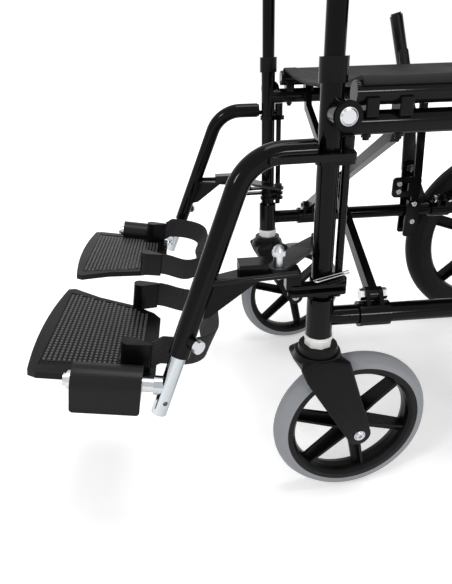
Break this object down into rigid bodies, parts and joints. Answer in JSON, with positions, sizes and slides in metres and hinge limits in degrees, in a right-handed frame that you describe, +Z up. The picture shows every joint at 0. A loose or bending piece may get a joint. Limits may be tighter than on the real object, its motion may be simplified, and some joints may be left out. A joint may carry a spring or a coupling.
{
  "type": "transport wheelchair",
  "caption": "Folding transport wheelchair with spoked rear wheels, swivelling front casters, swing-away footrests with heel straps, sling seat and back, lift-up armrests and push handles.",
  "frame": {"origin": "floor level, at the middle of the chair's length and width", "axes": "+Z up, -Y the way the sitter faces, +X to the sitter's left"},
  "size_m": [0.549, 0.9734, 0.9426],
  "materials": {
    "frame": "gloss",
    "zinc": "satin",
    "chrome": "polished",
    "grip": "matt",
    "nut": "matt",
    "satin_plastic": "satin",
    "lever": "satin",
    "grey_tyre": "matt",
    "black_tyre": "matt",
    "webbing": "woven",
    "upholstery": "woven",
    "pad": "satin"
  },
  "bodies": {
    "left_frame": {"left_front_post": "frame", "left_low_rail": "frame", "left_top_rail": "frame", "left_cane": "frame", "left_strut": "frame", "left_hinge_rod": "frame", "left_hardware": "zinc", "left_grip": "grip", "left_caster_nut": "nut", "back_sling": "upholstery"},
    "brace_cross_a": {"brace_a": "frame", "brace_bolts": "zinc"},
    "brace_cross_b": {"brace_b": "frame", "seat_sling": "upholstery"},
    "right_frame": {"right_front_post": "frame", "right_low_rail": "frame", "right_top_rail": "frame", "right_cane": "frame", "right_strut": "frame", "right_hinge_rod": "frame", "right_hardware": "zinc", "right_grip": "grip", "right_caster_nut": "nut"},
    "left_caster_swivel": {"left_caster_fork": "satin_plastic", "left_caster_axle": "zinc"},
    "left_caster_wheel": {"left_caster_rim": "satin_plastic", "left_caster_tyre": "grey_tyre"},
    "left_rear_wheel": {"left_rear_rim": "satin_plastic", "left_rear_tyre": "black_tyre"},
    "left_brake": {"left_brake_lever": "lever"},
    "left_hanger": {"left_hanger_tube": "frame", "left_hanger_bracket": "frame", "left_hanger_bolts": "zinc"},
    "left_latch": {"left_latch_lever": "lever"},
    "left_extension_tube": {"left_extension": "chrome"},
    "left_plate_carrier": {"left_plate_rod": "zinc"},
    "left_plate": {"left_footplate": "satin_plastic", "left_heel_loop": "webbing"},
    "left_armrest": {"left_arm": "frame", "left_arm_pad": "pad"},
    "left_button": {"left_arm_button": "zinc"},
    "right_caster_swivel": {"right_caster_fork": "satin_plastic", "right_caster_axle": "zinc"},
    "right_caster_wheel": {"right_caster_rim": "satin_plastic", "right_caster_tyre": "grey_tyre"},
    "right_rear_wheel": {"right_rear_rim": "satin_plastic", "right_rear_tyre": "black_tyre"},
    "right_brake": {"right_brake_lever": "lever"},
    "right_hanger": {"right_hanger_tube": "frame", "right_hanger_bracket": "frame", "right_hanger_bolts": "zinc"},
    "right_latch": {"right_latch_lever": "lever"},
    "right_extension_tube": {"right_extension": "chrome"},
    "right_plate_carrier": {"right_plate_rod": "zinc"},
    "right_plate": {"right_footplate": "satin_plastic", "right_heel_loop": "webbing"},
    "right_armrest": {"right_arm": "frame", "right_arm_pad": "pad"},
    "right_button": {"right_arm_button": "zinc"}
  },
  "joints": [
    {"name": "fold", "type": "hinge", "parent": "left_frame", "child": "brace_cross_a", "pos_m": [0.183, 0, 0.276], "axis": [0, 1, 0], "range_deg": [0, 34], "deforming": ["back_sling"]},
    {"name": "brace_scissor", "type": "hinge", "parent": "brace_cross_a", "child": "brace_cross_b", "pos_m": [0, 0, 0.365], "axis": [0, 1, 0], "range_deg": [-69, 0], "deforming": ["seat_sling"]},
    {"name": "right_frame_fold", "type": "hinge", "parent": "brace_cross_b", "child": "right_frame", "pos_m": [-0.183, 0, 0.276], "axis": [0, 1, 0], "range_deg": [0, 35]},
    {"name": "left_caster_turn", "type": "hinge", "parent": "left_frame", "child": "left_caster_swivel", "pos_m": [0.191, -0.16133, 0.22], "axis": [0, 0, 1], "continuous": true},
    {"name": "left_caster_roll", "type": "hinge", "parent": "left_caster_swivel", "child": "left_caster_wheel", "pos_m": [0.18577, -0.11321, 0.1], "axis": [0.9942, 0.108, 0], "continuous": true},
    {"name": "left_wheel_roll", "type": "hinge", "parent": "left_frame", "child": "left_rear_wheel", "pos_m": [0.241, 0.30867, 0.178], "axis": [1, 0, 0], "continuous": true},
    {"name": "left_brake_pull", "type": "hinge", "parent": "left_frame", "child": "left_brake", "pos_m": [0.2085, 0.10067, 0.33], "axis": [1, 0, 0], "range_deg": [0, 17]},
    {"name": "left_hanger_swing", "type": "hinge", "parent": "left_frame", "child": "left_hanger", "pos_m": [0.191, -0.14333, 0.37], "axis": [0, 0, 1], "range_deg": [0, 90]},
    {"name": "left_latch_turn", "type": "hinge", "parent": "left_hanger", "child": "left_latch", "pos_m": [0.205, -0.21133, 0.324], "axis": [0, 0, 1], "range_deg": [0, 18], "stiffness_Nm_per_rad": 0.3},
    {"name": "left_plate_height", "type": "slide", "parent": "left_hanger", "child": "left_extension_tube", "axis": [0.1519, -0.3704, -0.9164], "range_m": [-0.015, 0.05]},
    {"name": "left_plate_lift", "type": "hinge", "parent": "left_extension_tube", "child": "left_plate_carrier", "pos_m": [0.24, -0.39133, 0.2215], "axis": [0, 0.9863, -0.165], "range_deg": [0, 92]},
    {"name": "left_plate_flip", "type": "hinge", "parent": "left_plate_carrier", "child": "left_plate", "pos_m": [0.24, -0.39133, 0.2215], "axis": [0, -0.9863, 0.165], "range_deg": [-92, 0], "deforming": ["left_heel_loop"]},
    {"name": "left_arm_lift", "type": "slide", "parent": "left_frame", "child": "left_armrest", "axis": [0, 0, 1], "range_m": [0, 0.11]},
    {"name": "left_button_press", "type": "slide", "parent": "left_frame", "child": "left_button", "axis": [-1, 0, 0], "range_m": [0, 0.005], "stiffness_N_per_m": 300},
    {"name": "right_caster_turn", "type": "hinge", "parent": "right_frame", "child": "right_caster_swivel", "pos_m": [-0.191, -0.16133, 0.22], "axis": [0, 0, 1], "continuous": true},
    {"name": "right_caster_roll", "type": "hinge", "parent": "right_caster_swivel", "child": "right_caster_wheel", "pos_m": [-0.1979, -0.11342, 0.1], "axis": [0.9898, 0.1426, 0], "continuous": true},
    {"name": "right_wheel_roll", "type": "hinge", "parent": "right_frame", "child": "right_rear_wheel", "pos_m": [-0.241, 0.30867, 0.178], "axis": [1, 0, 0], "continuous": true},
    {"name": "right_brake_pull", "type": "hinge", "parent": "right_frame", "child": "right_brake", "pos_m": [-0.2085, 0.10067, 0.33], "axis": [1, 0, 0], "range_deg": [0, 17]},
    {"name": "right_hanger_swing", "type": "hinge", "parent": "right_frame", "child": "right_hanger", "pos_m": [-0.191, -0.14333, 0.37], "axis": [0, 0, -1], "range_deg": [0, 90]},
    {"name": "right_latch_turn", "type": "hinge", "parent": "right_hanger", "child": "right_latch", "pos_m": [-0.205, -0.21133, 0.324], "axis": [0, 0, -1], "range_deg": [0, 18], "stiffness_Nm_per_rad": 0.3},
    {"name": "right_plate_height", "type": "slide", "parent": "right_hanger", "child": "right_extension_tube", "axis": [-0.1519, -0.3704, -0.9164], "range_m": [-0.015, 0.05]},
    {"name": "right_plate_lift", "type": "hinge", "parent": "right_extension_tube", "child": "right_plate_carrier", "pos_m": [-0.24, -0.39133, 0.2215], "axis": [0, -0.9863, 0.165], "range_deg": [0, 92]},
    {"name": "right_plate_flip", "type": "hinge", "parent": "right_plate_carrier", "child": "right_plate", "pos_m": [-0.24, -0.39133, 0.2215], "axis": [0, 0.9863, -0.165], "range_deg": [-92, 0], "deforming": ["right_heel_loop"]},
    {"name": "right_arm_lift", "type": "slide", "parent": "right_frame", "child": "right_armrest", "axis": [0, 0, 1], "range_m": [0, 0.11]},
    {"name": "right_button_press", "type": "slide", "parent": "right_frame", "child": "right_button", "axis": [1, 0, 0], "range_m": [0, 0.005], "stiffness_N_per_m": 300}
  ],
  "couplings": [
    {"joint": "brace_scissor", "follows": "fold", "ratio": -2},
    {"joint": "right_frame_fold", "follows": "fold", "ratio": 1},
    {"joint": "left_plate_lift", "follows": "fold", "ratio": 2.7},
    {"joint": "right_plate_lift", "follows": "fold", "ratio": 2.7}
  ]
}
